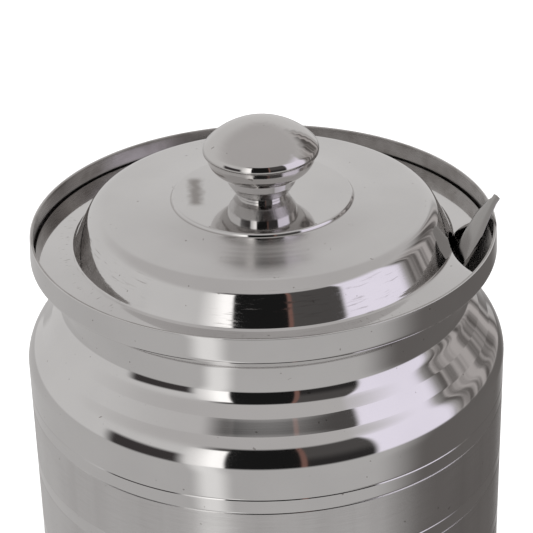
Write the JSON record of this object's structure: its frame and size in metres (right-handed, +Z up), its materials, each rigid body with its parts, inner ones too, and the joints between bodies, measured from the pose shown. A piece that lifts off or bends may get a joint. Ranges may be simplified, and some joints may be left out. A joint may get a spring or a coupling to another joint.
{
  "type": "milk can",
  "caption": "Steel can with a flared mouth, a drop-in domed lid with a round knob, and a spoon whose bent handle leaves through a notch in the lid.",
  "frame": {"origin": "centre of the base ring, on the surface the can stands on", "axes": "+Z up the can's axis; +X towards the lid's notch; +Y to the back, away from the viewer"},
  "size_m": [0.126, 0.126, 0.1637],
  "materials": {
    "body_steel": "mirror polished, with fine brushed bands round the wall",
    "lid_steel": "mirror polished",
    "knob_steel": "mirror polished",
    "fixing_steel": "plain turned steel",
    "spoon_steel": "polished"
  },
  "bodies": {
    "can": {"can_body": "body_steel"},
    "lid": {"lid_pan": "lid_steel", "knob_cap": "knob_steel", "knob_cup": "knob_steel", "knob_collar": "knob_steel", "knob_boss": "fixing_steel", "knob_washer": "fixing_steel", "knob_screw": "fixing_steel"},
    "spoon": {"spoon_handle": "spoon_steel", "spoon_bowl": "spoon_steel"}
  },
  "joints": [
    {"name": "lid_lift", "type": "slide", "parent": "can", "child": "lid", "axis": [0, 0, 1], "range_m": [0, 0.07]},
    {"name": "spoon_lift", "type": "slide", "parent": "can", "child": "spoon", "axis": [0.3806, -0.0535, 0.9232], "range_m": [0, 0.05]}
  ]
}
